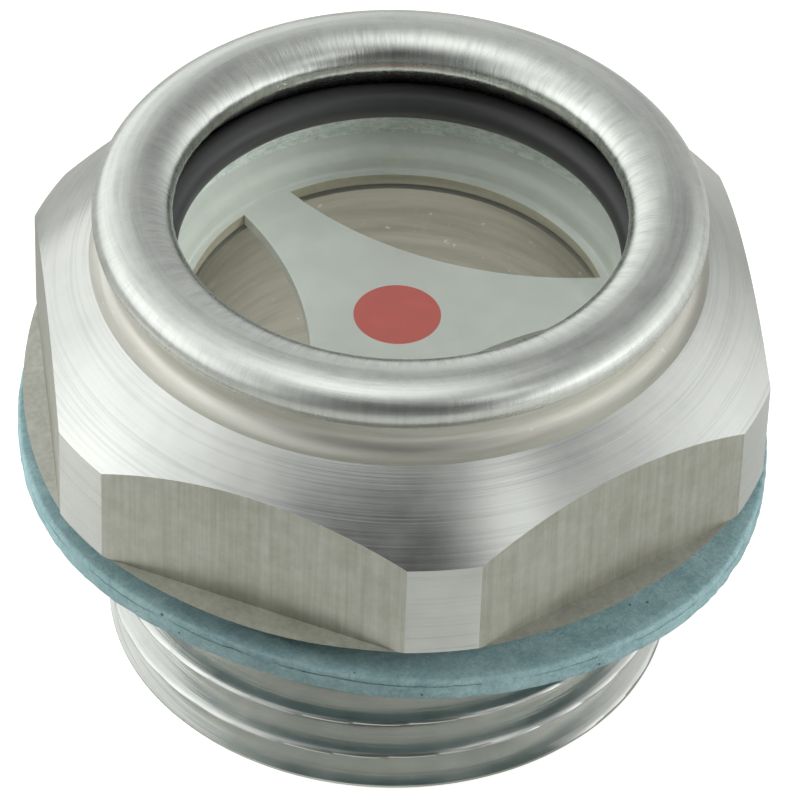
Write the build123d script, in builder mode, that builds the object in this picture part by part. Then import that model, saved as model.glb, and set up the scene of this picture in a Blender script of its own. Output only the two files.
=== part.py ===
from build123d import *
from math import atan2, cos, degrees, radians, sin, tan
import os

os.makedirs("parts", exist_ok=True)

# Tank level gauge: a screw-in oil sight glass with a reflector, for a G 3/8 port.
# One turned and milled body holds a drawn reflector cup, a glass disc and an O-ring,
# and its rim is rolled in over them. A fibre gasket lies loose and askew in the undercut
# above the thread.
# Millimetres, +Z up, origin at the centre of the spigot's end face.

# ---- threaded spigot: the thread itself is finer than this model -------------------
THREAD_DIAMETER = 16.54          # over the crests of a G 3/8 thread, middle of its tolerance
THREAD_LENGTH = 5.5              # end face to the end of the thread
UNDERCUT_DEPTH = 0.82            # relief above the thread, from its crests to just under its root
SPIGOT_LENGTH = 7.8              # end face to the sealing face
BORE_DIAMETER = 12.0             # oil passage
END_CHAMFER = 0.1

# ---- hexagon head ---------------------------------------------------------------------
HEX_ACROSS_FLATS = 20.0
CORNER_RISE = 1.0                # the turned corners stand this much further out than the flats
CORNER_HEIGHT = 3.33             # hexagon's underside to the top of its corners
HEX_TURN = 30.0                  # puts one corner on -Y
UNDER_CHAMFER_HEIGHT = 0.2
UNDER_CHAMFER_ANGLE = 30.0
COLLAR_HEIGHT = 0.25             # round sealing collar under the hexagon
COLLAR_INSET = 0.5               # collar inside the corners, per side

# ---- shoulder, neck and rolled rim ----------------------------------------------------
SHOULDER_HEIGHT = 1.82           # top of the corners to the crease at the neck
NECK_WALL = 0.9                  # seat bore to the narrowest circle of the neck
NECK_FLARE = 0.56                # from there out to the crease
WAIST_RISE = 0.55                # crease to the narrowest circle of the neck
RIM_RISE = 1.54                  # crease to the middle of the rim bead
RIM_OVERHANG = 0.47              # bead past the neck, outwards
LIP_OVERHANG = 0.9               # bead past the seat bore, inwards
BEAD_HEIGHT = 1.474
BEAD_END_RADIUS = 0.55           # the bead's section is an oval: this is round its two ends
BEAD_NECK_ANGLE = 62.0           # how far the outer end turns in under the bead, to the neck
BEAD_LIP_ANGLE = 10.0            # how far the inner end turns in, to the lip
LIP_THICKNESS = 0.2              # blunt edge of the rolled lip
LIP_SINK = 0.1                   # the lip's edge below the middle of the bead

# ---- inner pieces ---------------------------------------------------------------------
GLASS_DIAMETER = 14.4            # the reflector's flange is as wide
GLASS_THICKNESS = 2.0
GLASS_BEVEL = 0.08

FLANGE_WIDTH = 0.5               # outside of the reflector's wall to the flange's edge
CUP_DEPTH = 0.75                 # top of the flange to the top of the floor
SHEET_THICKNESS = 0.35
FLANGE_BEND = 0.4                # over the bend from the wall into the flange
FLOOR_BEND = 0.4                 # under the bend from the wall into the floor
WINDOW_COUNT = 3
WINDOW_ARC_RADIUS = 10.6         # bowed inner edge of each window
WINDOW_SETBACK = 2.6             # nearest point of that edge to the reflector's centre
WINDOW_MARGIN = 0.25             # window's outer edge to the wall
WINDOW_TURN = 62.0               # first window's middle, from +X

CORD_DIAMETER = 1.0              # O-ring section
CORD_DROP = 1.09                 # middle of the bead to the top of the O-ring

GASKET_INSET = 0.1               # gasket's edge inside the hexagon's corners
GASKET_GRIP = 0.1                # gasket's hole inside the thread's crests, so that it stays on
GASKET_THICKNESS = 0.75
GASKET_TILT = 2.5                # down towards +X
GASKET_GAP = 0.42                # sealing face to the gasket's high side

# ---- fits -----------------------------------------------------------------------------
SEAT_CLEARANCE = 0.1             # round the glass and the flange, per side
CUP_CLEARANCE = 0.1              # round and under the cup, per side
CORD_CLEARANCE = 0.02            # O-ring to the glass and to the seat bore

# ---- radii that follow from the sizes above -------------------------------------------
thread_radius = THREAD_DIAMETER / 2
undercut_radius = thread_radius - UNDERCUT_DEPTH
bore_radius = BORE_DIAMETER / 2
land_radius = HEX_ACROSS_FLATS / 2 + CORNER_RISE
collar_radius = land_radius - COLLAR_INSET
chamfer_inset = UNDER_CHAMFER_HEIGHT / tan(radians(UNDER_CHAMFER_ANGLE))

glass_radius = GLASS_DIAMETER / 2
seat_radius = glass_radius + SEAT_CLEARANCE
cup_outer_radius = glass_radius - FLANGE_WIDTH
cup_radius = cup_outer_radius - SHEET_THICKNESS
recess_radius = cup_outer_radius + CUP_CLEARANCE

neck_radius = seat_radius + NECK_WALL
crease_radius = neck_radius + NECK_FLARE
rim_radius = neck_radius + RIM_OVERHANG
opening_radius = seat_radius - LIP_OVERHANG

# the bead's oval: two small end arcs, and a flatter arc over the top that runs into both
bead_radius = (rim_radius + opening_radius) / 2
end_offset = (rim_radius - opening_radius) / 2 - BEAD_END_RADIUS
half_height = BEAD_HEIGHT / 2
crown_radius = (end_offset**2 + half_height**2 - BEAD_END_RADIUS**2) / (
    2 * (half_height - BEAD_END_RADIUS)
)
crown_sink = crown_radius - half_height
join_angle = degrees(atan2(crown_sink, end_offset))

# ---- levels ---------------------------------------------------------------------------
hex_bottom = SPIGOT_LENGTH + COLLAR_HEIGHT
corner_top = hex_bottom + CORNER_HEIGHT
crease_level = corner_top + SHOULDER_HEIGHT
bead_level = crease_level + RIM_RISE

# the inner pieces are stacked down from the rolled lip to the seat in the body
cord_radius = CORD_DIAMETER / 2
cord_level = bead_level - CORD_DROP - cord_radius
cord_ring_radius = seat_radius - CORD_CLEARANCE - cord_radius
glass_top = cord_level - cord_radius - CORD_CLEARANCE
glass_bottom = glass_top - GLASS_THICKNESS
seat_level = glass_bottom - SHEET_THICKNESS
floor_top = glass_bottom - CUP_DEPTH
floor_bottom = floor_top - SHEET_THICKNESS
recess_bottom = floor_bottom - CUP_CLEARANCE

# ---- body -----------------------------------------------------------------------------
with BuildPart() as body:
    with BuildSketch(Plane.XZ):
        with BuildLine():
            # outside of the spigot, the collar and the blank that the hexagon is milled from
            blank = Polyline(
                (bore_radius, 0),
                (thread_radius, 0),
                (thread_radius, THREAD_LENGTH),
                (undercut_radius, THREAD_LENGTH + UNDERCUT_DEPTH),
                (undercut_radius, SPIGOT_LENGTH),
                (collar_radius, SPIGOT_LENGTH),
                (collar_radius, hex_bottom),
                (land_radius - chamfer_inset, hex_bottom),
                (land_radius, hex_bottom + UNDER_CHAMFER_HEIGHT),
                (land_radius, corner_top),
                (crease_radius, crease_level),
            )
            # the rim's bead, rolled over from the neck to the lip
            outer_end = CenterArc(
                (bead_radius + end_offset, bead_level),
                BEAD_END_RADIUS,
                start_angle=-BEAD_NECK_ANGLE,
                arc_size=BEAD_NECK_ANGLE + join_angle,
            )
            CenterArc(
                (bead_radius, bead_level - crown_sink),
                crown_radius,
                start_angle=join_angle,
                arc_size=180 - 2 * join_angle,
            )
            inner_end = CenterArc(
                (bead_radius - end_offset, bead_level),
                BEAD_END_RADIUS,
                start_angle=180 - join_angle,
                arc_size=join_angle + BEAD_LIP_ANGLE,
            )
            ThreePointArc(blank @ 1, (neck_radius, crease_level + WAIST_RISE), outer_end @ 0)
            # underside of the lip, clear of the O-ring, then the seat, the recess and the bore
            Polyline(
                inner_end @ 1,
                (opening_radius + LIP_SINK, bead_level - LIP_SINK - LIP_THICKNESS),
                (seat_radius, cord_level + cord_radius / 2),
                (seat_radius, seat_level),
                (recess_radius, seat_level),
                (recess_radius, recess_bottom),
                (bore_radius, recess_bottom),
                (bore_radius, 0),
            )
        make_face()
    revolve(axis=Axis.Z)

    # six milled flats: turned corners stay between them, and each runs out in a curve above
    with BuildSketch(Plane.XY.offset(hex_bottom)):
        Circle(2 * land_radius)
        RegularPolygon(
            HEX_ACROSS_FLATS / 2, 6, major_radius=False, rotation=HEX_TURN, mode=Mode.SUBTRACT
        )
    extrude(amount=crease_level - hex_bottom, mode=Mode.SUBTRACT)
    end_edges = body.edges().filter_by(GeomType.CIRCLE).group_by(Axis.Z)[0]
    chamfer(end_edges, END_CHAMFER)
body.part.label = "body"
export_step(body.part, "parts/body.step")

# ---- reflector: a drawn cup with a flange and windows in its floor --------------------
with BuildPart() as reflector:
    with BuildSketch(Plane.XZ) as cup_section:
        with BuildLine():
            Polyline(
                (0, floor_bottom),
                (cup_outer_radius, floor_bottom),
                (cup_outer_radius, seat_level),
                (glass_radius, seat_level),
                (glass_radius, glass_bottom),
                (cup_radius, glass_bottom),
                (cup_radius, floor_top),
                (0, floor_top),
                close=True,
            )
        make_face()
        # the sheet is bent out into the flange and in into the floor
        for radius, level, bend in (
            (cup_radius, glass_bottom, FLANGE_BEND),
            (cup_outer_radius, floor_bottom, FLOOR_BEND),
        ):
            corner = cup_section.vertices().sort_by_distance((radius, level))[0]
            fillet(corner, bend)
    revolve(axis=Axis.Z)

    # each window lies between a bowed edge and a rim along the foot of the wall
    with BuildSketch(Plane.XY.offset(floor_bottom)):
        with PolarLocations(WINDOW_SETBACK + WINDOW_ARC_RADIUS, WINDOW_COUNT, WINDOW_TURN):
            Circle(WINDOW_ARC_RADIUS)
        Circle(cup_radius - WINDOW_MARGIN, mode=Mode.INTERSECT)
    extrude(amount=SHEET_THICKNESS, mode=Mode.SUBTRACT)
reflector.part.label = "reflector"
export_step(reflector.part, "parts/reflector.step")

# ---- glass ----------------------------------------------------------------------------
with BuildPart() as glass:
    with BuildSketch(Plane.XY.offset(glass_bottom)):
        Circle(glass_radius)
    extrude(amount=GLASS_THICKNESS)
    chamfer(glass.edges().filter_by(GeomType.CIRCLE), GLASS_BEVEL)
glass.part.label = "glass"
export_step(glass.part, "parts/glass.step")

# ---- O-ring ---------------------------------------------------------------------------
with BuildPart() as o_ring:
    with BuildSketch(Plane.XZ):
        with Locations((cord_ring_radius, cord_level)):
            Circle(cord_radius)
    revolve(axis=Axis.Z)
o_ring.part.label = "o_ring"
export_step(o_ring.part, "parts/o_ring.step")

# ---- gasket, loose and askew in the undercut ------------------------------------------
gasket_radius = land_radius - GASKET_INSET
high_side = gasket_radius * sin(radians(GASKET_TILT))
half_section = GASKET_THICKNESS / 2 * cos(radians(GASKET_TILT))
gasket_level = SPIGOT_LENGTH - GASKET_GAP - high_side - half_section

with BuildPart() as gasket:
    with BuildSketch(Plane((0, 0, gasket_level)).rotated((0, GASKET_TILT, 0))):
        Circle(gasket_radius)
        Circle(thread_radius - GASKET_GRIP, mode=Mode.SUBTRACT)
    extrude(amount=GASKET_THICKNESS / 2, both=True)
gasket.part.label = "gasket"
export_step(gasket.part, "parts/gasket.step")
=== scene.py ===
"""Tank level gauge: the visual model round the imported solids, laid out as an add-on.

The lengths below are millimetres and the pieces are modelled in millimetres, because the
tools work best near unit size; finish_piece() then scales each mesh to metres.
"""

import math
from collections import Counter

import bpy
from mathutils import Matrix, Vector, noise


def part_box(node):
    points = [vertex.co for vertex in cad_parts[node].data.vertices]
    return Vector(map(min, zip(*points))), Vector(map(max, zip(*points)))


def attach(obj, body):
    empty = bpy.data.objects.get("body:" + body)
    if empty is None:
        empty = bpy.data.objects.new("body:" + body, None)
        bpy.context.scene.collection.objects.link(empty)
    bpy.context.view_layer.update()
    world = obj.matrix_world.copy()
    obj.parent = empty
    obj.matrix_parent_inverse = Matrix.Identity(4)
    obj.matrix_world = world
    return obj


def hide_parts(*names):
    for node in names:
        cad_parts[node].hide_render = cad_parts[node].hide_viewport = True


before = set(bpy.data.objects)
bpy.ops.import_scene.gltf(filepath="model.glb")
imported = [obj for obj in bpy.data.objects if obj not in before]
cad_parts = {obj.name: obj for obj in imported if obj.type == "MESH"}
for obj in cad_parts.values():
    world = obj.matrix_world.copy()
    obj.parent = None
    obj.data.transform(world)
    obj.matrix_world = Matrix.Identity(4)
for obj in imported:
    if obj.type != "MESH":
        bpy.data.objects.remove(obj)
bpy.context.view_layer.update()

bl_info = {
    "name": "Tank Level Gauge",
    "version": (1, 0, 0),
    "blender": (4, 5, 0),
    "location": "View3D > Sidebar > Gauge",
    "description": "Models a screw-in oil sight glass with its gasket, and a small studio",
    "category": "Object",
}

MM = 0.001
ROUND = 288                      # segments round the axis; a multiple of the hexagon's six
WHOLE_TURN = 2 * math.pi
TURNED = 0.25                    # anisotropic rotation that draws a highlight along the profile
MILLED = 0.0                     # and the one that draws it round the axis
RUNOUT_SLOPE = 0.2               # fall of the run-out under a flat, over its reach
CUP_TRIES = 5                    # how often the cup is built at most, until its mesh is closed
LIP_REACH = 0.35                 # how far from its edge the rolled lip is ragged
SPLIT_DEPTH = 0.22               # level of the gasket's split line under its top face


# ---- places and sizes taken from the solids -------------------------------------------
def top_of(node):
    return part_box(node)[1].z / MM


def bottom_of(node):
    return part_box(node)[0].z / MM


def radius_of(node):
    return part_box(node)[1].y / MM


GLASS_TOP = top_of("glass")
GLASS_BOTTOM = bottom_of("glass")
GLASS_RADIUS = radius_of("glass")
FLOOR_BOTTOM = bottom_of("reflector")
RIM_TOP = top_of("body")
LAND_RADIUS = radius_of("body")
CORD_LEVEL = (top_of("o_ring") + bottom_of("o_ring")) / 2
CORD_RADIUS = (top_of("o_ring") - bottom_of("o_ring")) / 2
GASKET_RADIUS = radius_of("gasket")
GASKET_LEVEL = (top_of("gasket") + bottom_of("gasket")) / 2


def size(name, description, default_mm):
    """A length that a user may change, shown in scene units."""
    return bpy.props.FloatProperty(
        name=name, description=description, default=default_mm * MM, unit="LENGTH", precision=6
    )


def colour(name, description, code):
    """A colour from its sRGB hex code."""
    return bpy.props.FloatVectorProperty(
        name=name, description=description, default=linear(code), size=4, min=0, max=1,
        subtype="COLOR",
    )


def linear(code):
    """sRGB hex to linear RGBA."""
    channels = [int(code[i:i + 2], 16) / 255 for i in (1, 3, 5)]
    return tuple(c / 12.92 if c <= 0.04045 else ((c + 0.055) / 1.055) ** 2.4 for c in channels) + (1.0,)


class GAUGE_body_settings(bpy.types.PropertyGroup):
    """Sizes of the turned body."""
    thread_radius: size("Thread radius", "Over the crests of the thread", 8.27)
    thread_root: size("Thread root", "Radius at the bottom of the thread's groove", 7.42)
    thread_pitch: size("Pitch", "From one crest of the thread to the next", 1.337)
    thread_start: size("First crest", "Height of a crest above the end, on the -Y side", 1.30)
    thread_length: size("Thread length", "End face to the undercut", 5.5)
    undercut_depth: size("Undercut depth", "Relief above the thread, below its crests", 0.82)
    spigot_length: size("Spigot length", "End face to the sealing face", 7.8)
    bore_radius: size("Bore radius", "Oil passage", 6.0)
    collar_radius: size("Collar radius", "Round collar under the hexagon", 10.5)
    hex_bottom: size("Hexagon underside", "Height of the hexagon's underside", 8.05)
    across_flats: size("Across flats", "Spanner size of the hexagon", 20.0)
    runout: size("Run-out", "Height over which a flat runs out into the collar", 0.15)
    corner_top: size("Corner top", "Height of the top of the turned corners", 11.38)
    crease_radius: size("Crease radius", "Where the cone meets the neck", 8.76)
    crease_level: size("Crease level", "Height of that crease", 13.2)
    neck_radius: size("Neck radius", "Narrowest circle of the neck", 8.2)
    bead_level: size("Bead level", "Height of the middle of the rolled rim", 14.74)
    rim_radius: size("Rim radius", "Widest circle of the rolled rim", 8.67)
    opening_radius: size("Opening radius", "Edge of the rolled lip", 6.4)
    seat_radius: size("Seat radius", "Bore round the glass and the O-ring", 7.3)


class GAUGE_inner_settings(bpy.types.PropertyGroup):
    """Sizes and colours of what the body holds."""
    cup_radius: size("Cup radius", "Inside of the reflector's wall", 6.35)
    sheet: size("Sheet", "Thickness of the reflector", 0.35)
    window_arc: size("Window arc", "Radius of a window's bowed edge", 10.6)
    window_setback: size("Window setback", "Nearest point of that edge to the centre", 2.6)
    window_radius: size("Window radius", "Outer edge of the windows", 6.1)
    dot_radius: size("Dot radius", "Printed dot in the middle", 1.25)
    white: colour("White enamel", "Reflector", "#edf0eb")
    red: colour("Red print", "Dot", "#e85545")
    rubber: colour("Rubber", "O-ring", "#363737")
    tint: colour("Glass tint", "Slight green of plain glass", "#fafcfa")


class GAUGE_gasket_settings(bpy.types.PropertyGroup):
    """Sizes and lie of the gasket."""
    thickness: size("Thickness", "Of the fibre ring", 0.75)
    hole_radius: size("Hole radius", "Inside of the ring", 8.17)
    tilt: bpy.props.FloatProperty(
        name="Tilt", description="Down towards +X", default=math.radians(2.5), subtype="ANGLE"
    )


class GAUGE_stage_settings(bpy.types.PropertyGroup):
    """Where the camera stands."""
    elevation: bpy.props.FloatProperty(
        name="Elevation", description="Camera above the horizon", default=math.radians(42.67),
        subtype="ANGLE",
    )
    azimuth: bpy.props.FloatProperty(
        name="Azimuth", description="Camera's turn about +Z, from -Y towards -X",
        default=math.radians(8.12), subtype="ANGLE",
    )
    roll: bpy.props.FloatProperty(
        name="Roll", description="Camera's turn about its own axis", default=math.radians(2.02),
        subtype="ANGLE",
    )
    distance: size("Distance", "Camera to the point it looks at", 174.95)
    floor: colour("Floor", "Pale paper sweep", "#cbcbc8")
    backlight: bpy.props.FloatProperty(
        name="Back light", description="Light through the paper, as the lens sees it", default=1.05
    )


# ---- modelling helpers ----------------------------------------------------------------
def deselect_all():
    if bpy.context.object and bpy.context.object.mode != "OBJECT":
        bpy.ops.object.mode_set(mode="OBJECT")
    bpy.ops.object.select_all(action="DESELECT")


def make_active(piece):
    deselect_all()
    piece.select_set(True)
    bpy.context.view_layer.objects.active = piece


def lathe(name, profile, closed=True):
    """A ring is extruded from point to point of a profile of (radius, height), in millimetres."""
    deselect_all()
    radius, height = profile[0]
    bpy.ops.mesh.primitive_circle_add(
        vertices=ROUND, radius=radius, fill_type="NOTHING", location=(0, 0, height)
    )
    piece = bpy.context.object
    piece.name = name
    bpy.ops.object.transform_apply(location=True, rotation=True, scale=True)
    bpy.ops.object.mode_set(mode="EDIT")
    bpy.ops.mesh.select_all(action="SELECT")
    for next_radius, next_height in profile[1:]:
        bpy.ops.mesh.extrude_region_move(
            TRANSFORM_OT_translate={"value": (0, 0, next_height - height)}
        )
        ratio = next_radius / radius
        bpy.ops.transform.resize(value=(ratio, ratio, 1), center_override=(0, 0, next_height))
        radius, height = next_radius, next_height
    bpy.ops.object.mode_set(mode="OBJECT")
    if closed:
        select_verts(piece, lambda co: near_ring(co, profile[0]) or near_ring(co, profile[-1]))
        bpy.ops.object.mode_set(mode="EDIT")
        bpy.ops.mesh.bridge_edge_loops()
        bpy.ops.object.mode_set(mode="OBJECT")
    return piece


def near_ring(co, point, reach=1e-4):
    return abs(math.hypot(co.x, co.y) - point[0]) < reach and abs(co.z - point[1]) < reach


def select_verts(piece, test):
    """Selects the vertices whose place passes the test, and the edges and faces they span."""
    make_active(piece)
    bpy.ops.object.mode_set(mode="EDIT")
    bpy.ops.mesh.select_mode(type="VERT")
    bpy.ops.mesh.select_all(action="DESELECT")
    bpy.ops.object.mode_set(mode="OBJECT")
    for vertex in piece.data.vertices:
        vertex.select = test(vertex.co)


def arc(centre, radii, start, end, steps):
    """Points of an elliptical arc from start to end degrees, both ends included."""
    points = []
    for step in range(steps + 1):
        angle = math.radians(start + (end - start) * step / steps)
        points.append((centre[0] + radii[0] * math.cos(angle), centre[1] + radii[1] * math.sin(angle)))
    return points


def bowed(start, end, bow, steps):
    """Points between start and end along a shallow bow to the right of the way, ends left out."""
    across, up = end[0] - start[0], end[1] - start[1]
    length = math.hypot(across, up)
    points = []
    for step in range(1, steps):
        t = step / steps
        out = 4 * bow * t * (1 - t)
        points.append((start[0] + across * t + up / length * out, start[1] + up * t - across / length * out))
    return points


def rows(start, end, count):
    """Evenly spaced points from start to end, both left out."""
    return [
        (start[0] + (end[0] - start[0]) * i / count, start[1] + (end[1] - start[1]) * i / count)
        for i in range(1, count)
    ]


def is_closed(mesh):
    """Whether every edge is shared by exactly two faces."""
    shared = Counter(key for face in mesh.polygons for key in face.edge_keys)
    return all(count == 2 for count in shared.values())


def cut(piece, cutter, operation="DIFFERENCE"):
    """Cuts piece with the cutter, or keeps what they share, and removes the cutter."""
    make_active(piece)
    modifier = piece.modifiers.new("cut", "BOOLEAN")
    modifier.operation = operation
    modifier.solver = "EXACT"
    modifier.object = cutter
    bpy.ops.object.modifier_apply(modifier=modifier.name)
    bpy.data.objects.remove(cutter)


def recalculate_normals(piece):
    make_active(piece)
    bpy.ops.object.mode_set(mode="EDIT")
    bpy.ops.mesh.select_all(action="SELECT")
    bpy.ops.mesh.remove_doubles(threshold=1e-4)
    bpy.ops.mesh.normals_make_consistent(inside=False)
    bpy.ops.object.mode_set(mode="OBJECT")


def finish_piece(piece, node, smooth_angle=28):
    """Scales a finished mesh to metres and puts it in place of its solid."""
    recalculate_normals(piece)
    piece.scale = (MM, MM, MM)
    bpy.ops.object.transform_apply(location=True, rotation=True, scale=True)
    bpy.ops.object.shade_smooth_by_angle(angle=math.radians(smooth_angle))
    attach(piece, "root")
    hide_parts(node)


# ---- materials ------------------------------------------------------------------------
def new_material(name):
    material = bpy.data.materials.new(name)
    material.use_nodes = True
    nodes = material.node_tree.nodes
    nodes.clear()
    return material


def add(material, kind, inputs=None, **attributes):
    """Adds one node. inputs maps a socket's name or index to a value or to another node's output."""
    node = material.node_tree.nodes.new(kind)
    for name, value in attributes.items():
        setattr(node, name, value)
    for socket, value in (inputs or {}).items():
        if isinstance(value, bpy.types.NodeSocket):
            material.node_tree.links.new(value, node.inputs[socket])
        else:
            node.inputs[socket].default_value = value
    return node


def millimetres(material):
    """Object coordinates in millimetres, and the same split into X, Y and Z."""
    place = add(material, "ShaderNodeTexCoord")
    scaled = add(
        material, "ShaderNodeVectorMath", {0: place.outputs["Object"], 1: (1000, 1000, 1000)},
        operation="MULTIPLY",
    )
    split = add(material, "ShaderNodeSeparateXYZ", {0: scaled.outputs["Vector"]})
    return scaled.outputs["Vector"], split.outputs


def round_the_axis(material, split):
    """Distance from the axis in millimetres, and the direction from it as a unit vector."""
    flat = add(material, "ShaderNodeCombineXYZ", {"X": split["X"], "Y": split["Y"]})
    distance = add(material, "ShaderNodeVectorMath", {0: flat.outputs[0]}, operation="LENGTH")
    direction = add(material, "ShaderNodeVectorMath", {0: flat.outputs[0]}, operation="NORMALIZE")
    return distance.outputs["Value"], direction.outputs["Vector"]


def colour_from(material, factor, stops):
    """A colour ramp over (position, hex code) stops."""
    ramp = add(material, "ShaderNodeValToRGB", {"Fac": factor})
    elements = ramp.color_ramp.elements
    while len(elements) < len(stops):
        elements.new(0.5)
    for element, (position, code) in zip(elements, stops):
        element.position = position
        element.color = linear(code)
    return ramp.outputs["Color"]


def turned_pattern(material, across, around):
    """Fine lines round the axis: noise that runs fast along the profile and slowly round it. The
    lines are drawn coarser than a tool's feed leaves them, so that they show."""
    place, split = millimetres(material)
    distance, direction = round_the_axis(material, split)
    slow = add(
        material, "ShaderNodeVectorMath", {0: direction, 1: (around, around, around)},
        operation="MULTIPLY",
    )
    height = add(material, "ShaderNodeMath", {0: split["Z"], 1: across}, operation="MULTIPLY")
    outward = add(material, "ShaderNodeMath", {0: distance, 1: across}, operation="MULTIPLY")
    lift = add(material, "ShaderNodeCombineXYZ", {"Z": height.outputs[0]})
    vector = add(
        material, "ShaderNodeVectorMath", {0: slow.outputs["Vector"], 1: lift.outputs[0]},
        operation="ADD",
    )
    lines = add(
        material, "ShaderNodeTexNoise",
        {"Vector": vector.outputs["Vector"], "W": outward.outputs[0], "Scale": 1.0, "Detail": 3.0,
         "Roughness": 0.6},
        noise_dimensions="4D",
    )
    return lines.outputs["Fac"], place, distance, direction


def metal_surface(material, roughness, tone, normal, anisotropic, turn):
    """Bare metal. turn is TURNED where fine lines run round the axis, MILLED where they run up it."""
    shader = add(
        material, "ShaderNodeBsdfPrincipled",
        {"Base Color": tone, "Metallic": 1.0, "Roughness": roughness, "Normal": normal,
         "Anisotropic": anisotropic, "Anisotropic Rotation": turn},
    )
    grain = add(material, "ShaderNodeTangent", direction_type="RADIAL", axis="Z")
    material.node_tree.links.new(grain.outputs["Tangent"], shader.inputs["Tangent"])
    add(material, "ShaderNodeOutputMaterial", {"Surface": shader.outputs["BSDF"]})


def turned_aluminium():
    """Bare aluminium bar, turned: fine rings round the axis smear every highlight along the
    profile, and handling has left faint cloudy patches."""
    material = new_material("turned aluminium")
    lines, place, _, _ = turned_pattern(material, across=9.0, around=1.2)
    clouds = add(
        material, "ShaderNodeTexNoise",
        {"Vector": place, "Scale": 0.45, "Detail": 4.0, "Roughness": 0.6},
    )
    roughness = add(
        material, "ShaderNodeMapRange",
        {"Value": clouds.outputs["Fac"], "From Min": 0.3, "From Max": 0.7, "To Min": 0.15, "To Max": 0.25},
    )
    tone = add(
        material, "ShaderNodeMix",
        {"Factor": 0.2,
         6: colour_from(material, clouds.outputs["Fac"], [(0.35, "#bfc2be"), (0.65, "#cdd0cb")]),
         7: colour_from(material, lines, [(0.36, "#969a96"), (0.5, "#cbcec9")])},
        data_type="RGBA",
    )
    bump = add(
        material, "ShaderNodeBump", {"Height": lines, "Strength": 0.5, "Distance": 0.00001}
    )
    metal_surface(material, roughness.outputs["Result"], tone.outputs[2], bump.outputs["Normal"], 0.6, TURNED)
    return material


def rolled_aluminium():
    """The rim after rolling: burnished, with a fine scuffed grain, and short radial drag marks
    down its inner slope where the tool let go."""
    material = new_material("rolled aluminium")
    lines, place, distance, direction = turned_pattern(material, across=5.0, around=2.0)
    spokes = add(
        material, "ShaderNodeVectorMath", {0: direction, 1: (42.0, 42.0, 42.0)}, operation="MULTIPLY"
    )
    slowly = add(material, "ShaderNodeMath", {0: distance, 1: 0.9}, operation="MULTIPLY")
    marks = add(
        material, "ShaderNodeTexNoise",
        {"Vector": spokes.outputs["Vector"], "W": slowly.outputs[0], "Scale": 1.0, "Detail": 3.0,
         "Roughness": 0.7},
        noise_dimensions="4D",
    )
    grain = add(
        material, "ShaderNodeTexNoise",
        {"Vector": place, "Scale": 4.5, "Detail": 4.0, "Roughness": 0.75},
    )
    across = add(
        material, "ShaderNodeMapRange",
        {"Value": distance, "From Min": 6.4, "From Max": 8.7, "To Min": 0.0, "To Max": 1.0},
    )
    slopes = colour_from(
        material, across.outputs["Result"],
        [(0.26, "#ffffff"), (0.5, "#000000"), (0.74, "#000000"), (0.9, "#b0b0b0")],
    )
    top = add(
        material, "ShaderNodeMix", {"Factor": 0.22, 2: lines, 3: grain.outputs["Fac"]},
        data_type="FLOAT",
    )
    height = add(
        material, "ShaderNodeMix", {"Factor": slopes, 2: top.outputs[0], 3: marks.outputs["Fac"]},
        data_type="FLOAT",
    )
    clouds = add(
        material, "ShaderNodeTexNoise",
        {"Vector": place, "Scale": 1.0, "Detail": 5.0, "Roughness": 0.6},
    )
    roughness = add(
        material, "ShaderNodeMapRange",
        {"Value": clouds.outputs["Fac"], "From Min": 0.3, "From Max": 0.7, "To Min": 0.24, "To Max": 0.31},
    )
    tone = add(
        material, "ShaderNodeMix",
        {"Factor": 0.5,
         6: colour_from(material, clouds.outputs["Fac"], [(0.35, "#c4c8c3"), (0.62, "#d3d7d1")]),
         7: colour_from(material, height.outputs[0], [(0.34, "#b0b4b0"), (0.56, "#d8dcd6")])},
        data_type="RGBA",
    )
    bump = add(
        material, "ShaderNodeBump",
        {"Height": height.outputs[0], "Strength": 0.5, "Distance": 0.000018},
    )
    metal_surface(material, roughness.outputs["Result"], tone.outputs[2], bump.outputs["Normal"], 0.4, TURNED)
    return material


def dull_aluminium(name, dark, light, glint_colour):
    """Aluminium turned and left: dull, warm grey from oil and handling, with coarse tool rings
    and a few painted glints: bright spots that stand in for light caught on the machined metal."""
    material = new_material(name)
    lines, place, _, _ = turned_pattern(material, across=2.5, around=1.5)
    # Painted glints: noise picks a few spots that take the bright glint colour, in place of light caught on
    # the metal.
    painted_glints = add(
        material, "ShaderNodeTexNoise",
        {"Vector": place, "Scale": 3.0, "Detail": 3.0, "Roughness": 0.7},
    )
    tone = add(
        material, "ShaderNodeMix",
        {"Factor": colour_from(material, painted_glints.outputs["Fac"], [(0.66, "#000000"), (0.7, "#ffffff")]),
         6: colour_from(material, lines, [(0.35, dark), (0.6, light)]),
         7: linear(glint_colour)},
        data_type="RGBA",
    )
    bump = add(
        material, "ShaderNodeBump", {"Height": lines, "Strength": 0.4, "Distance": 0.00002}
    )
    metal_surface(material, 0.46, tone.outputs[2], bump.outputs["Normal"], 0.3, TURNED)
    return material


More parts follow.
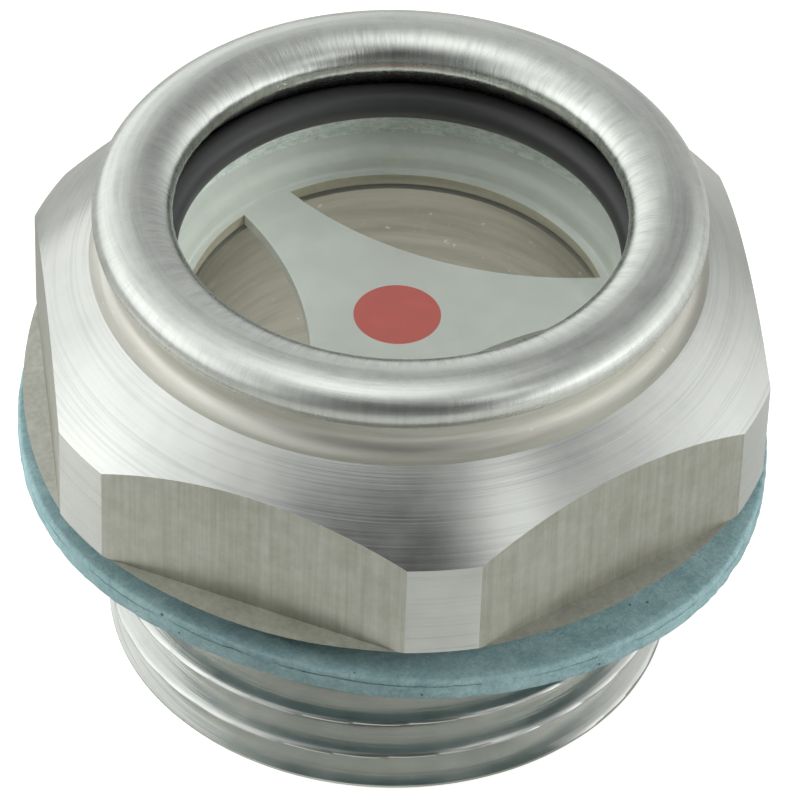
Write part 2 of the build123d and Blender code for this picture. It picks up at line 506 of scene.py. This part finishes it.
def milled_aluminium():
    """The hexagon's flats, milled: straight streaks run up each flat, and the face is duller. The
    streaks are drawn coarser than a cutter's marks, so that they show."""
    material = new_material("milled aluminium")
    place, _ = millimetres(material)
    stretched = add(
        material, "ShaderNodeMapping", {"Vector": place, "Scale": (6.0, 6.0, 0.16)},
    )
    streaks = add(
        material, "ShaderNodeTexNoise",
        {"Vector": stretched.outputs["Vector"], "Scale": 1.0, "Detail": 4.0, "Roughness": 0.65},
    )
    clouds = add(
        material, "ShaderNodeTexNoise",
        {"Vector": place, "Scale": 1.4, "Detail": 6.0, "Roughness": 0.7},
    )
    tone = add(
        material, "ShaderNodeMix",
        {"Factor": 0.5,
         6: colour_from(material, streaks.outputs["Fac"], [(0.34, "#a3a498"), (0.62, "#bebfb5")]),
         7: colour_from(material, clouds.outputs["Fac"], [(0.35, "#a4a599"), (0.65, "#bfc0b6")])},
        data_type="RGBA",
    )
    bump = add(
        material, "ShaderNodeBump",
        {"Height": streaks.outputs["Fac"], "Strength": 0.5, "Distance": 0.00001},
    )
    metal_surface(material, 0.42, tone.outputs[2], bump.outputs["Normal"], 0.5, MILLED)
    return material


def fibre_sheet(name, dark, pale, speck):
    """Compressed fibre sheet, stamped: matt, mottled, with pale and dark fibres lying flat. The
    fibres are drawn about twice as coarse as they are, so that they show."""
    material = new_material(name)
    place, _ = millimetres(material)
    mottle = add(
        material, "ShaderNodeTexNoise",
        {"Vector": place, "Scale": 0.9, "Detail": 6.0, "Roughness": 0.7},
    )
    fibres = add(
        material, "ShaderNodeTexNoise",
        {"Vector": place, "Scale": 5.0, "Detail": 4.0, "Roughness": 0.7, "Distortion": 1.5},
    )
    specks = add(material, "ShaderNodeTexVoronoi", {"Vector": place, "Scale": 1.4}, feature="F1")
    base = add(
        material, "ShaderNodeMix",
        {"Factor": 0.45,
         6: colour_from(material, mottle.outputs["Fac"], [(0.3, dark), (0.7, pale)]),
         7: colour_from(material, fibres.outputs["Fac"], [(0.35, dark), (0.65, pale)])},
        data_type="RGBA",
    )
    speckled = add(
        material, "ShaderNodeMix",
        {"Factor": colour_from(material, specks.outputs["Distance"], [(0.04, "#ffffff"), (0.08, "#000000")]),
         6: base.outputs[2], 7: linear(speck)},
        data_type="RGBA",
    )
    bump = add(
        material, "ShaderNodeBump",
        {"Height": fibres.outputs["Fac"], "Strength": 0.6, "Distance": 0.00004},
    )
    shader = add(
        material, "ShaderNodeBsdfPrincipled",
        {"Base Color": speckled.outputs[2], "Roughness": 0.82, "Normal": bump.outputs["Normal"]},
    )
    add(material, "ShaderNodeOutputMaterial", {"Surface": shader.outputs["BSDF"]})
    return material


def plain(name, base, roughness, bump_scale, bump_height):
    """A moulded or painted surface: one colour, faintly uneven."""
    material = new_material(name)
    place, _ = millimetres(material)
    uneven = add(
        material, "ShaderNodeTexNoise",
        {"Vector": place, "Scale": bump_scale, "Detail": 3.0, "Roughness": 0.6},
    )
    tone = add(
        material, "ShaderNodeHueSaturation",
        {"Color": base,
         "Value": add(material, "ShaderNodeMapRange",
                      {"Value": uneven.outputs["Fac"], "From Min": 0.3, "From Max": 0.7,
                       "To Min": 0.94, "To Max": 1.04}).outputs["Result"]},
    )
    bump = add(
        material, "ShaderNodeBump",
        {"Height": uneven.outputs["Fac"], "Strength": 0.4, "Distance": bump_height},
    )
    shader = add(
        material, "ShaderNodeBsdfPrincipled",
        {"Base Color": tone.outputs["Color"], "Roughness": roughness, "Normal": bump.outputs["Normal"]},
    )
    add(material, "ShaderNodeOutputMaterial", {"Surface": shader.outputs["BSDF"]})
    return material


def clear_glass(tint):
    """Float glass: clear with a faint green, and polished on both faces. Light that only passes
    through it to what lies under it goes straight, so that the cup is lit as it is in the open."""
    material = new_material("float glass")
    shader = add(
        material, "ShaderNodeBsdfPrincipled",
        {"Base Color": tint, "Roughness": 0.0, "IOR": 1.52, "Transmission Weight": 1.0},
    )
    straight = add(material, "ShaderNodeBsdfTransparent", {"Color": tint})
    ray = add(material, "ShaderNodeLightPath")
    lighting = add(
        material, "ShaderNodeMath",
        {0: ray.outputs["Is Shadow Ray"], 1: ray.outputs["Is Diffuse Ray"]}, operation="MAXIMUM",
    )
    both = add(
        material, "ShaderNodeMixShader",
        {"Fac": lighting.outputs[0], 1: shader.outputs["BSDF"], 2: straight.outputs["BSDF"]},
    )
    add(material, "ShaderNodeOutputMaterial", {"Surface": both.outputs["Shader"]})
    return material


def ground_glass():
    """The disc's ground edge: frosted pale green, speckled by the grit."""
    material = new_material("ground glass edge")
    place, _ = millimetres(material)
    grit = add(
        material, "ShaderNodeTexNoise",
        {"Vector": place, "Scale": 4.0, "Detail": 5.0, "Roughness": 0.8},
    )
    tone = colour_from(material, grit.outputs["Fac"], [(0.35, "#c3d1c6"), (0.6, "#f4f9f4")])
    shader = add(
        material, "ShaderNodeBsdfPrincipled",
        {"Base Color": tone, "Roughness": 0.5},
    )
    add(material, "ShaderNodeOutputMaterial", {"Surface": shader.outputs["BSDF"]})
    return material


# ---- pieces ---------------------------------------------------------------------------
def mm(value):
    """A length property in millimetres."""
    return value / MM


THREAD_HALF_ANGLE = math.radians(27.5)
ROW = 0.04                       # height of one row of the thread's mesh


def thread_surface(settings, angle, height):
    """Radius of the thread at a turn from -Y towards +X and a height, in millimetres. Its crests
    and roots are rounded, and it fades out at both ends."""
    crest = mm(settings.thread_radius)
    depth = crest - mm(settings.thread_root)
    pitch = mm(settings.thread_pitch)
    crest_round, root_round = 0.07, 0.12
    climb = height - mm(settings.thread_start) - pitch * angle / WHOLE_TURN
    from_crest = abs((climb + pitch / 2) % pitch - pitch / 2)
    drop = (math.hypot(from_crest, crest_round) - crest_round) / math.tan(THREAD_HALF_ANGLE)
    drop = (drop + depth - math.hypot(drop - depth, root_round)) / 2
    first_ring = max(0.0, height - 0.12) / math.tan(THREAD_HALF_ANGLE)
    run_out = max(0.0, height - mm(settings.thread_length) + 0.4)
    return crest - min(max(min(drop, first_ring), run_out), depth)


def body_profile(s):
    """The body's half section, once round."""
    crest, undercut = mm(s.thread_radius), mm(s.thread_radius) - mm(s.undercut_depth)
    bore, collar = mm(s.bore_radius), mm(s.collar_radius)
    seal, under = mm(s.spigot_length), mm(s.hex_bottom)
    land, corner = LAND_RADIUS, mm(s.corner_top)
    crease, crease_z = mm(s.crease_radius), mm(s.crease_level)
    neck, bead_z = mm(s.neck_radius), mm(s.bead_level)
    seat = mm(s.seat_radius)
    rim, opening = mm(s.rim_radius), mm(s.opening_radius)
    bead, half_width = (rim + opening) / 2, (rim - opening) / 2
    half_height = RIM_TOP - bead_z
    flare = crease - neck
    thread_top = mm(s.thread_length) + mm(s.undercut_depth)
    thread_rows = round(thread_top / ROW)
    seat_level = GLASS_BOTTOM - 0.35
    recess, recess_bottom = 6.8, FLOOR_BOTTOM - 0.1
    chamfer = 0.346
    bead_points = arc((bead, bead_z), (half_width, half_height), -50, 186, 36)
    return (
        [(bore, 0.1), (bore + 0.1, 0), (crest - 0.6, 0), (crest - 0.06, 0), (crest, 0.04)]
        + rows((crest, 0.04), (crest, thread_top), thread_rows)
        + [(undercut, thread_top), (undercut, seal - 0.25), (undercut + 0.25, seal)]
        + [(collar - 0.05, seal)] + arc((collar - 0.05, seal + 0.05), (0.05, 0.05), -60, 0, 2)
        + arc((collar - 0.05, under - 0.05), (0.05, 0.05), 0, 90, 2)
        + [(land - chamfer, under), (land, under + 0.2)]
        + rows((land, under + 0.2), (land, corner), 4)
        + [(land, corner)] + bowed((land, corner), (crease, crease_z), 0.04, 12)
        + arc((crease, crease_z + flare), (flare, flare), -90, -180, 8)
        + bead_points
        + [(opening + 0.03, bead_z - 0.17), (opening + 0.1, bead_z - 0.3)]
        + [(seat, CORD_LEVEL + CORD_RADIUS / 2), (seat, seat_level), (recess, seat_level),
           (recess, recess_bottom), (bore, recess_bottom)]
    )


class GAUGE_OT_body(bpy.types.Operator):
    """Turns the body, cuts its thread, mills its hexagon and drags the rolled lip a little"""
    bl_idname = "gauge.body"
    bl_label = "Body"

    def execute(self, context):
        s = context.scene.gauge_body
        piece = lathe("body_turned", body_profile(s))
        thread_top = mm(s.thread_length) + mm(s.undercut_depth)
        for vertex in piece.data.vertices:
            co = vertex.co
            radius = math.hypot(co.x, co.y)
            if radius > 8.2 and 0.02 < co.z < thread_top - 0.01:
                angle = math.atan2(co.x, -co.y)
                chatter = 0.012 * noise.noise(Vector((co.x * 0.55, co.y * 0.55, co.z * 0.4)))
                scale = (thread_surface(s, angle, co.z) - abs(chatter)) / radius
                co.x *= scale
                co.y *= scale
        self.mill(piece, s)
        self.drag_lip(piece, s)
        self.paint(piece, s)
        finish_piece(piece, "body")
        return {"FINISHED"}

    def mill(self, piece, s):
        """A hexagonal ring cuts away what stands outside the flats, and falls a little outwards."""
        deselect_all()
        corner = mm(s.across_flats) / 2 / math.cos(math.pi / 6)
        start = mm(s.hex_bottom) + mm(s.runout)
        bpy.ops.mesh.primitive_circle_add(
            vertices=6, radius=corner, fill_type="NOTHING", location=(0, 0, start)
        )
        ring = bpy.context.object
        bpy.ops.object.transform_apply(location=True, rotation=True, scale=True)
        bpy.ops.object.mode_set(mode="EDIT")
        bpy.ops.mesh.select_all(action="SELECT")
        bpy.ops.mesh.extrude_region_move(
            TRANSFORM_OT_translate={"value": (0, 0, -0.4 * mm(s.across_flats) / 2 * RUNOUT_SLOPE)}
        )
        bpy.ops.transform.resize(value=(1.4, 1.4, 1), center_override=(0, 0, start))
        bpy.ops.mesh.select_all(action="SELECT")
        bpy.ops.mesh.extrude_region_move(TRANSFORM_OT_translate={"value": (0, 0, 5.0)})
        bpy.ops.object.mode_set(mode="OBJECT")
        recalculate_normals(ring)
        cut(piece, ring)

    def drag_lip(self, piece, s):
        """The lip's edge is slightly ragged."""
        opening, bead_z = mm(s.opening_radius), mm(s.bead_level)
        for vertex in piece.data.vertices:
            co = vertex.co
            radius = math.hypot(co.x, co.y)
            if radius < opening + LIP_REACH and bead_z - LIP_REACH < co.z < bead_z + 0.3:
                near = 1 - min(1, abs(radius - opening) / LIP_REACH)
                ragged = noise.fractal(Vector((co.x * 5.0, co.y * 5.0, 3.1)), 0.8, 2.0, 3)
                co.z += 0.01 * near * ragged
                scale = 1 + 0.015 * near * ragged / radius
                co.x *= scale
                co.y *= scale

    def paint(self, piece, s):
        for material in (
            turned_aluminium(), rolled_aluminium(), milled_aluminium(),
            # The last colour is that of the painted glints; on the neck it equals the light tone, so no
            # glints show there.
            dull_aluminium("bored aluminium", "#b3b0a2", "#c9c6b8", "#e9e8df"),
            dull_aluminium("turned aluminium neck", "#c3c2b8", "#d6d6cd", "#d6d6cd"),
        ):
            piece.data.materials.append(material)
        turned, rolled, milled, bored, neck = range(5)
        flat, collar = mm(s.across_flats) / 2, mm(s.collar_radius)
        under_bead = mm(s.bead_level) - 0.55
        for face in piece.data.polygons:
            centre, normal = face.center, face.normal
            radius = math.hypot(centre.x, centre.y)
            reach = centre.x * normal.x + centre.y * normal.y
            on_flat = abs(normal.z) < 0.02 and abs(reach - flat) < 0.01
            on_runout = 0.5 < normal.z < 0.999 and centre.z < mm(s.hex_bottom) + mm(s.runout) + 0.01
            on_collar = radius > collar - 0.3 and centre.z < mm(s.hex_bottom) + 0.01
            if centre.z > mm(s.spigot_length) and (on_flat or on_collar or on_runout):
                face.material_index = milled
            elif centre.z > mm(s.crease_level) and radius > mm(s.neck_radius) - 0.2 and centre.z < under_bead:
                face.material_index = neck
            elif centre.z > mm(s.crease_level) and radius > mm(s.opening_radius) - 0.1:
                face.material_index = rolled
            elif radius < mm(s.seat_radius) - 0.1 and centre.z < mm(s.bead_level) - 1:
                face.material_index = bored if centre.z > 0.2 else turned
            else:
                face.material_index = turned


class GAUGE_OT_reflector(bpy.types.Operator):
    """Draws the reflector cup, punches its three windows and prints the dot"""
    bl_idname = "gauge.reflector"
    bl_label = "Reflector"

    def execute(self, context):
        """The solver behind the punches doesn't always give the same result for the same meshes,
        and now and then leaves a torn one. So a cup that isn't closed is built again."""
        s = context.scene.gauge_inner
        for _ in range(CUP_TRIES):
            piece = self.cup(s)
            if is_closed(piece.data):
                break
            bpy.data.objects.remove(piece)
        else:
            raise RuntimeError(f"the reflector stays open after {CUP_TRIES} tries")
        self.paint(piece, s, FLOOR_BOTTOM + mm(s.sheet))
        finish_piece(piece, "reflector")
        return {"FINISHED"}

    def cup(self, s):
        """The drawn cup with its three windows, merged, in millimetres."""
        sheet, wall, flange = mm(s.sheet), mm(s.cup_radius), GLASS_RADIUS
        top, under = GLASS_BOTTOM, FLOOR_BOTTOM
        floor = under + sheet
        dot = mm(s.dot_radius)
        profile = (
            [(0.3, under), (wall + sheet - 0.5, under)]
            + arc((wall + sheet - 0.4, under + 0.4), (0.4, 0.4), -75, 0, 5)
            + [(wall + sheet, top - sheet), (flange, top - sheet), (flange, top)]
            + arc((wall + 0.4, top - 0.4), (0.4, 0.4), 90, 180, 6)
            + arc((wall - 0.12, floor + 0.12), (0.12, 0.12), 0, -90, 3)
            + [(mm(s.window_radius), floor), (dot, floor), (0.3, floor)]
        )
        piece = lathe("reflector_cup", profile, closed=False)
        for level in (under, floor):
            select_verts(piece, lambda co: near_ring(co, (0.3, level)))
            bpy.ops.object.mode_set(mode="EDIT")
            bpy.ops.mesh.edge_face_add()
            bpy.ops.object.mode_set(mode="OBJECT")
        recalculate_normals(piece)
        for turn in (62, 182, 302):
            cut(piece, self.window(s, turn, under))
        recalculate_normals(piece)
        return piece

    def window(self, s, turn, level):
        """The lens-shaped punch between the bowed edge and the rim of the floor."""
        deselect_all()
        bpy.ops.mesh.primitive_cylinder_add(
            vertices=ROUND, radius=mm(s.window_radius), depth=1.0, location=(0, 0, level)
        )
        punch = bpy.context.object
        away = mm(s.window_setback) + mm(s.window_arc)
        angle = math.radians(turn)
        bpy.ops.mesh.primitive_cylinder_add(
            vertices=ROUND * 2, radius=mm(s.window_arc), depth=2.0,
            location=(away * math.cos(angle), away * math.sin(angle), level),
        )
        cut(punch, bpy.context.object, "INTERSECT")
        return punch

    def paint(self, piece, s, floor):
        for material in (
            plain("white enamel", tuple(s.white), 0.38, 0.7, 0.00001),
            plain("red print", tuple(s.red), 0.5, 1.5, 0.00001),
            plain("cut sheet edge", linear("#c2bba2"), 0.5, 6.0, 0.00002),
        ):
            piece.data.materials.append(material)
        for face in piece.data.polygons:
            centre = face.center
            radius = math.hypot(centre.x, centre.y)
            printed = radius < mm(s.dot_radius) and centre.z > floor - 0.01
            edge = abs(face.normal.z) < 0.05 and abs(radius - mm(s.window_radius)) < 0.02
            face.material_index = 1 if printed else 2 if edge else 0


class GAUGE_OT_glass(bpy.types.Operator):
    """Cuts and grinds the glass disc"""
    bl_idname = "gauge.glass"
    bl_label = "Glass"

    def execute(self, context):
        s = context.scene.gauge_inner
        edge, top, bottom = GLASS_RADIUS, GLASS_TOP, GLASS_BOTTOM
        arris = 0.08
        profile = (
            [(0.5, bottom), (edge - arris - 0.6, bottom), (edge - arris, bottom), (edge, bottom + arris)]
            + rows((edge, bottom + arris), (edge, top - arris), 4)
            + [(edge, top - arris), (edge - arris, top), (edge - arris - 0.6, top), (0.5, top)]
        )
        piece = lathe("glass_disc", profile, closed=False)
        for level in (bottom, top):
            select_verts(piece, lambda co: near_ring(co, (0.5, level)))
            bpy.ops.object.mode_set(mode="EDIT")
            bpy.ops.mesh.edge_face_add()
            bpy.ops.object.mode_set(mode="OBJECT")
        recalculate_normals(piece)
        for material in (clear_glass(tuple(s.tint)), ground_glass()):
            piece.data.materials.append(material)
        for face in piece.data.polygons:
            face.material_index = 0 if abs(face.normal.z) > 0.95 else 1
        finish_piece(piece, "glass")
        return {"FINISHED"}


class GAUGE_OT_o_ring(bpy.types.Operator):
    """Moulds the O-ring"""
    bl_idname = "gauge.o_ring"
    bl_label = "O-ring"

    def execute(self, context):
        s = context.scene.gauge_inner
        ring_radius = radius_of("o_ring") - CORD_RADIUS
        deselect_all()
        bpy.ops.mesh.primitive_torus_add(
            major_segments=ROUND, minor_segments=36, major_radius=ring_radius,
            minor_radius=CORD_RADIUS, location=(0, 0, CORD_LEVEL),
        )
        piece = bpy.context.object
        piece.name = "o_ring_cord"
        bpy.ops.object.transform_apply(location=True, rotation=True, scale=True)
        piece.data.materials.append(plain("moulded rubber", tuple(s.rubber), 0.42, 3.0, 0.00001))
        finish_piece(piece, "o_ring", 180)
        return {"FINISHED"}


# (waves round the ring, height in millimetres, where the wave crests, in degrees from -Y)
GASKET_WAVES = ((2, 0.04, -47), (3, 0.19, -14), (5, 0.11, 31))


class GAUGE_OT_gasket(bpy.types.Operator):
    """Stamps the fibre ring, frays its edge and lays it warped and askew in the undercut"""
    bl_idname = "gauge.gasket"
    bl_label = "Gasket"

    def execute(self, context):
        s = context.scene.gauge_gasket
        half = mm(s.thickness) / 2
        outer, inner = GASKET_RADIUS, mm(s.hole_radius)
        profile = (
            [(inner, -half + 0.05), (inner + 0.05, -half)]
            + rows((inner + 0.05, -half), (outer - 0.12, -half), 8)
            + arc((outer - 0.12, -half + 0.12), (0.12, 0.12), -90, 0, 3)
            + rows((outer, -half + 0.12), (outer, half - 0.25), 4)
            + [(outer, half - 0.25), (outer, half - SPLIT_DEPTH), (outer, half - 0.19), (outer, half - 0.12)]
            + arc((outer - 0.12, half - 0.12), (0.12, 0.12), 0, 90, 3)
            + rows((outer - 0.12, half), (inner + 0.05, half), 8)
            + [(inner + 0.05, half), (inner, half - 0.05)]
        )
        piece = lathe("gasket_ring", profile)
        slope = math.tan(s.tilt)
        for vertex in piece.data.vertices:
            co = vertex.co
            radius = math.hypot(co.x, co.y)
            angle = math.atan2(co.x, -co.y)
            wave = sum(
                height * math.cos(count * (angle - math.radians(crest)))
                for count, height, crest in GASKET_WAVES
            )
            fray = noise.fractal(Vector((co.x * 1.6, co.y * 1.6, co.z * 2.5)), 0.9, 2.0, 5)
            edge = max(0.0, (radius - outer + 0.5) / 0.5)
            split = abs(co.z - half + SPLIT_DEPTH) < 0.01 and radius > outer - 0.01
            tear = max(0.0, noise.noise(Vector((co.x * 0.9, co.y * 0.9, 5.0))) + 0.15) if split else 0.0
            out = 1 - (0.04 + 0.05 * edge * abs(fray) + min(0.12, 0.4 * tear)) / radius
            co.x *= out
            co.y *= out
            co.z += GASKET_LEVEL - co.x * slope + wave * radius / outer + 0.02 * fray
        # The second material is a darker copy of the same fibre for the top faces: painted shade, as under
        # the hexagon's overhang.
        for material in (
            fibre_sheet("compressed fibre", "#5b797d", "#8fa9aa", "#34494a"),
            fibre_sheet("compressed fibre, painted shade", "#4c6a6d", "#768f91", "#2c3e3f"),
        ):
            piece.data.materials.append(material)
        # Faces that look up take the darker copy: painted shade on the top of the ring.
        for face in piece.data.polygons:
            face.material_index = 1 if face.normal.z > 0.75 else 0
        finish_piece(piece, "gasket", 40)
        return {"FINISHED"}


TENT_SHELL = 0.03
# (degrees from +X towards +Y, degrees up, the higher the narrower, strength)
TENT_LAMPS = (
    (180, 22, 5, 1.70),          # broad, left
    (0, 6, 3, 1.45),             # broad and low, right
    (-40, 4, 14, 1.30),          # low, right of the front
    (-100, -4, 6, 0.25),         # low fill, front
    (-54, 51, 60, 1.25),         # a narrow one over the front
    (112, 7, 3, 1.30),           # the wall behind
    (150, 84, 12, 1.60),         # overhead
)


class GAUGE_OT_stage(bpy.types.Operator):
    """Sets the pale floor, the soft lights and the camera"""
    bl_idname = "gauge.stage"
    bl_label = "Stage"

    def execute(self, context):
        s = context.scene.gauge_stage
        self.floor(s)
        self.tent()
        self.floor_lights()
        self.camera(s)
        return {"FINISHED"}

    def floor(self, s):
        """A paper sweep. Shadows and reflections meet it as it is, and the lens sees it paler,
        as paper in a light tent looks when it is lit from behind too."""
        deselect_all()
        bpy.ops.mesh.primitive_plane_add(size=3.0, location=(0, 0, 0))
        floor = bpy.context.object
        floor.name = "floor"
        material = new_material("paper sweep")
        ray = add(material, "ShaderNodeLightPath")
        behind_glass = add(
            material, "ShaderNodeMath", {0: ray.outputs["Transmission Depth"], 1: 1.0},
            operation="MINIMUM",
        )
        seen = add(
            material, "ShaderNodeMath", {0: ray.outputs["Is Camera Ray"], 1: behind_glass.outputs[0]},
            operation="MAXIMUM",
        )
        shader = add(
            material, "ShaderNodeBsdfPrincipled",
            {"Base Color": tuple(s.floor), "Roughness": 0.9, "Emission Color": tuple(s.floor),
             "Emission Strength": add(
                 material, "ShaderNodeMath", {0: seen.outputs[0], 1: s.backlight},
                 operation="MULTIPLY",
             ).outputs[0]},
        )
        add(material, "ShaderNodeOutputMaterial", {"Surface": shader.outputs["BSDF"]})
        floor.data.materials.append(material)

    def tent(self):
        """A light tent: a dim shell with broad soft lamps behind it."""
        world = bpy.data.worlds.new("light tent")
        world.use_nodes = True
        world.node_tree.nodes.clear()
        sky = add(world, "ShaderNodeTexCoord").outputs["Generated"]
        light = TENT_SHELL
        for azimuth, elevation, focus, strength in TENT_LAMPS:
            turn, rise = math.radians(azimuth), math.radians(elevation)
            middle = (
                math.cos(turn) * math.cos(rise), math.sin(turn) * math.cos(rise), math.sin(rise)
            )
            facing = add(
                world, "ShaderNodeVectorMath", {0: sky, 1: middle}, operation="DOT_PRODUCT"
            )
            lit = add(
                world, "ShaderNodeMath", {0: facing.outputs["Value"], 1: 0.0}, operation="MAXIMUM"
            )
            lobe = add(world, "ShaderNodeMath", {0: lit.outputs[0], 1: focus}, operation="POWER")
            light = add(
                world, "ShaderNodeMath", {0: lobe.outputs[0], 1: strength, 2: light},
                operation="MULTIPLY_ADD",
            ).outputs[0]
        background = add(world, "ShaderNodeBackground", {"Color": (1, 1, 1, 1), "Strength": light})
        add(world, "ShaderNodeOutputWorld", {"Surface": background.outputs["Background"]})
        bpy.context.scene.world = world
        bpy.context.scene.view_settings.view_transform = "Standard"

    def floor_lights(self):
        """A soft lamp brightens the paper on the right, a narrow spot the paper on the left."""
        for name, kind, place, aim, watts in (
            ("right_lamp", "AREA", (0.11, -0.05, 0.06), (0.03, -0.012, 0), 0.13),
            ("left_spot", "SPOT", (-0.12, 0.02, 0.05), (-0.015, 0, 0), 1.6),
        ):
            deselect_all()
            bpy.ops.object.light_add(type=kind, location=place)
            lamp = bpy.context.object
            lamp.name = name
            lamp.data.energy = watts
            lamp.rotation_euler = (Vector(aim) - Vector(place)).to_track_quat("-Z", "Y").to_euler()
            lamp.visible_glossy = False
            if kind == "AREA":
                lamp.data.size = 0.06
            else:
                lamp.data.spot_size = math.radians(12)
                lamp.data.spot_blend = 1.0
                lamp.data.shadow_soft_size = 0.01

    def camera(self, s):
        """The camera stands on a circle round the axis, in a frame turned by its azimuth."""
        target = Vector((0.164, 0, 7.562)) * MM
        up, level = math.sin(s.elevation), math.cos(s.elevation)
        forward = Vector((0, level, -up))
        right = Vector((1, 0, 0)) * math.cos(s.roll) + Vector((0, up, level)) * math.sin(s.roll)
        top = Vector((0, up, level)) * math.cos(s.roll) - Vector((1, 0, 0)) * math.sin(s.roll)
        turn = Matrix.Rotation(-s.azimuth, 4, "Z")
        pose = Matrix((right, top, -forward)).transposed().to_4x4()
        pose.translation = target - forward * s.distance
        deselect_all()
        bpy.ops.object.camera_add()
        camera = bpy.context.object
        camera.name = "camera"
        camera.matrix_world = turn @ pose
        camera.data.sensor_width = 36.0
        camera.data.lens = 272.8
        camera.data.clip_start = 0.01
        camera.data.clip_end = 10.0
        bpy.context.scene.camera = camera


class GAUGE_PT_panel(bpy.types.Panel):
    """Lists the pieces"""
    bl_idname = "GAUGE_PT_panel"
    bl_label = "Tank level gauge"
    bl_space_type = "VIEW_3D"
    bl_region_type = "UI"
    bl_category = "Gauge"

    def draw(self, context):
        for operator in OPERATORS:
            self.layout.operator(operator.bl_idname)


SETTINGS = {
    "gauge_body": GAUGE_body_settings,
    "gauge_inner": GAUGE_inner_settings,
    "gauge_gasket": GAUGE_gasket_settings,
    "gauge_stage": GAUGE_stage_settings,
}
OPERATORS = (
    GAUGE_OT_body, GAUGE_OT_reflector, GAUGE_OT_glass, GAUGE_OT_o_ring, GAUGE_OT_gasket,
    GAUGE_OT_stage,
)


def register():
    for cls in (*SETTINGS.values(), *OPERATORS, GAUGE_PT_panel):
        bpy.utils.register_class(cls)
    for name, settings in SETTINGS.items():
        setattr(bpy.types.Scene, name, bpy.props.PointerProperty(type=settings))


def unregister():
    for name in SETTINGS:
        delattr(bpy.types.Scene, name)
    for cls in (GAUGE_PT_panel, *reversed(OPERATORS), *reversed(SETTINGS.values())):
        bpy.utils.unregister_class(cls)


def main():
    register()
    bpy.ops.gauge.body()
    bpy.ops.gauge.reflector()
    bpy.ops.gauge.glass()
    bpy.ops.gauge.o_ring()
    bpy.ops.gauge.gasket()
    bpy.ops.gauge.stage()


if __name__ == "__main__":
    main()
